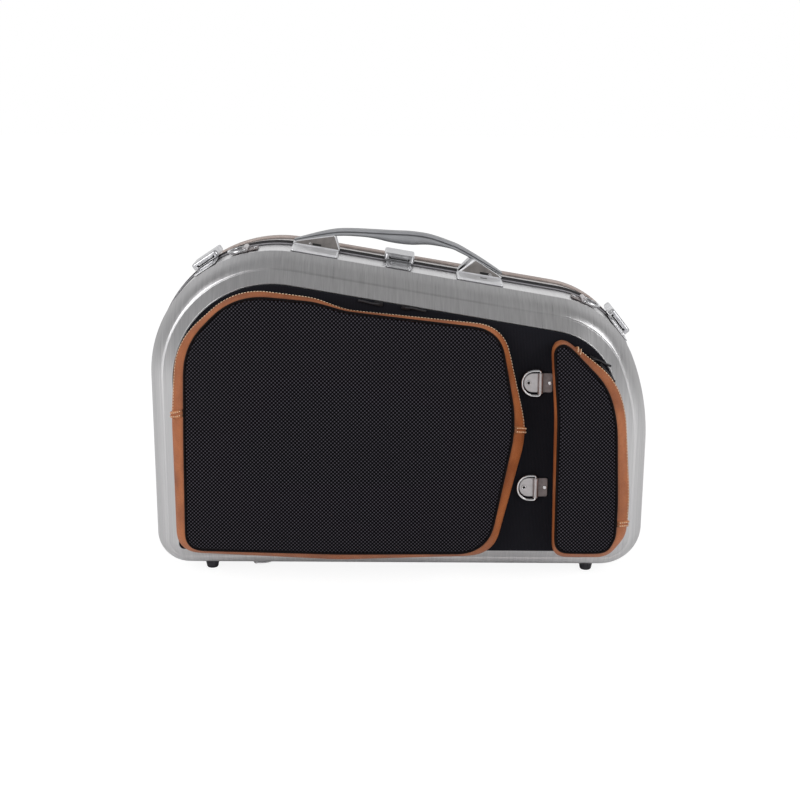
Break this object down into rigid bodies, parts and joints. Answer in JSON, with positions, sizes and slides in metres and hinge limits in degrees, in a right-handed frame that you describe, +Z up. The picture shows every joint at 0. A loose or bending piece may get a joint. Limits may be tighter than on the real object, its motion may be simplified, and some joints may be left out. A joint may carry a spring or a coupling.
{
  "type": "french horn case",
  "caption": "Hard french horn case with hinged shells, latches, carrying handle, zipped front pockets, strap rings and rubber feet.",
  "frame": {"origin": "centre of the object's box, on the surface that its four feet stand on", "axes": "+X to the right seen from the front, +Y from the pocket side to the back, +Z up"},
  "size_m": [0.563, 0.2202, 0.394],
  "materials": {
    "brushed_shell": "finely brushed silver-grey skin under a clear coat, on a laminated shell",
    "bright_chrome": "polished chrome plate",
    "satin_nickel": "satin plated steel sheet",
    "black_rubber": "matt black rubber",
    "grey_grip": "satin grey soft plastic grip",
    "tan_leather": "tan leather with pale stitching",
    "ribbed_fabric": "black finely ribbed fabric",
    "mesh_fabric": "black open mesh over a darker backing",
    "plush_liner": "charcoal plush over foam"
  },
  "bodies": {
    "rear_half": {"rear_shell": "brushed_shell", "rear_liner": "plush_liner", "rear_seal": "black_rubber", "leather_strip": "tan_leather", "back_pad": "ribbed_fabric", "foot_rear_left": "black_rubber", "foot_rear_right": "black_rubber", "hinge_leaf_rear_left": "bright_chrome", "hinge_leaf_rear_right": "bright_chrome", "hinge_pin_left": "bright_chrome", "hinge_pin_right": "bright_chrome", "latch_base_left": "bright_chrome", "latch_base_centre": "bright_chrome", "latch_base_right": "bright_chrome", "latch_pin_left": "bright_chrome", "latch_pin_centre": "bright_chrome", "latch_pin_right": "bright_chrome"},
    "front_half": {"front_shell": "brushed_shell", "front_liner": "plush_liner", "front_seal": "black_rubber", "front_panel": "ribbed_fabric", "large_pocket_zip": "ribbed_fabric", "large_pocket_gusset": "tan_leather", "large_pocket_face": "mesh_fabric", "small_pocket_zip": "ribbed_fabric", "small_pocket_gusset": "tan_leather", "small_pocket_face": "mesh_fabric", "zip_slider_large_left": "bright_chrome", "zip_slider_large_right": "bright_chrome", "zip_slider_small_upper": "bright_chrome", "zip_slider_small_lower": "bright_chrome", "handle_grip": "grey_grip", "handle_mount_left": "bright_chrome", "handle_mount_right": "bright_chrome", "handle_pin_left": "bright_chrome", "handle_pin_right": "bright_chrome", "latch_keeper_left": "bright_chrome", "latch_keeper_centre": "bright_chrome", "latch_keeper_right": "bright_chrome", "ring_plate_upper": "satin_nickel", "ring_plate_lower": "satin_nickel", "ring_plate_left": "satin_nickel", "ring_plate_right": "satin_nickel", "ring_plate_under": "satin_nickel", "hinge_leaf_front_left": "bright_chrome", "hinge_leaf_front_right": "bright_chrome", "foot_front_left": "black_rubber", "foot_front_right": "black_rubber"},
    "lever_left": {"latch_lever_left": "bright_chrome"},
    "lever_centre": {"latch_lever_centre": "bright_chrome"},
    "lever_right": {"latch_lever_right": "bright_chrome"},
    "ring_upper": {"strap_ring_upper": "bright_chrome"},
    "ring_lower": {"strap_ring_lower": "bright_chrome"},
    "ring_left": {"strap_ring_left": "bright_chrome"},
    "ring_right": {"strap_ring_right": "bright_chrome"},
    "ring_under": {"strap_ring_under": "bright_chrome"}
  },
  "joints": [
    {"name": "lid", "type": "hinge", "parent": "rear_half", "child": "front_half", "pos_m": [0, 0.01212, 0.0059], "axis": [1, 0, 0], "range_deg": [0, 100]},
    {"name": "latch_left", "type": "hinge", "parent": "rear_half", "child": "lever_left", "pos_m": [-0.21901, 0.03512, 0.35746], "axis": [-0.832, 0, -0.5548], "range_deg": [0, 75]},
    {"name": "latch_centre", "type": "hinge", "parent": "rear_half", "child": "lever_centre", "pos_m": [-0.00169, 0.03512, 0.36122], "axis": [-0.9863, 0, 0.165], "range_deg": [0, 16]},
    {"name": "latch_right", "type": "hinge", "parent": "rear_half", "child": "lever_right", "pos_m": [0.24746, 0.03512, 0.29011], "axis": [-0.6252, 0, 0.7804], "range_deg": [0, 75]},
    {"name": "ring_upper_swing", "type": "hinge", "parent": "front_half", "child": "ring_upper", "pos_m": [0.15316, -0.08218, 0.24086], "axis": [0, 0, 1], "range_deg": [0, 100]},
    {"name": "ring_lower_swing", "type": "hinge", "parent": "front_half", "child": "ring_lower", "pos_m": [0.1515, -0.08218, 0.1204], "axis": [0, 0, 1], "range_deg": [0, 100]},
    {"name": "ring_left_swing", "type": "hinge", "parent": "front_half", "child": "ring_left", "pos_m": [-0.17169, -0.01888, 0.37631], "axis": [0, 1, 0], "range_deg": [0, 150]},
    {"name": "ring_right_swing", "type": "hinge", "parent": "front_half", "child": "ring_right", "pos_m": [0.20416, -0.01888, 0.32142], "axis": [0, -1, 0], "range_deg": [0, 150]},
    {"name": "ring_under_swing", "type": "hinge", "parent": "front_half", "child": "ring_under", "pos_m": [-0.1674, -0.01888, 0.0087], "axis": [0, 1, 0], "range_deg": [0, 150]}
  ]
}
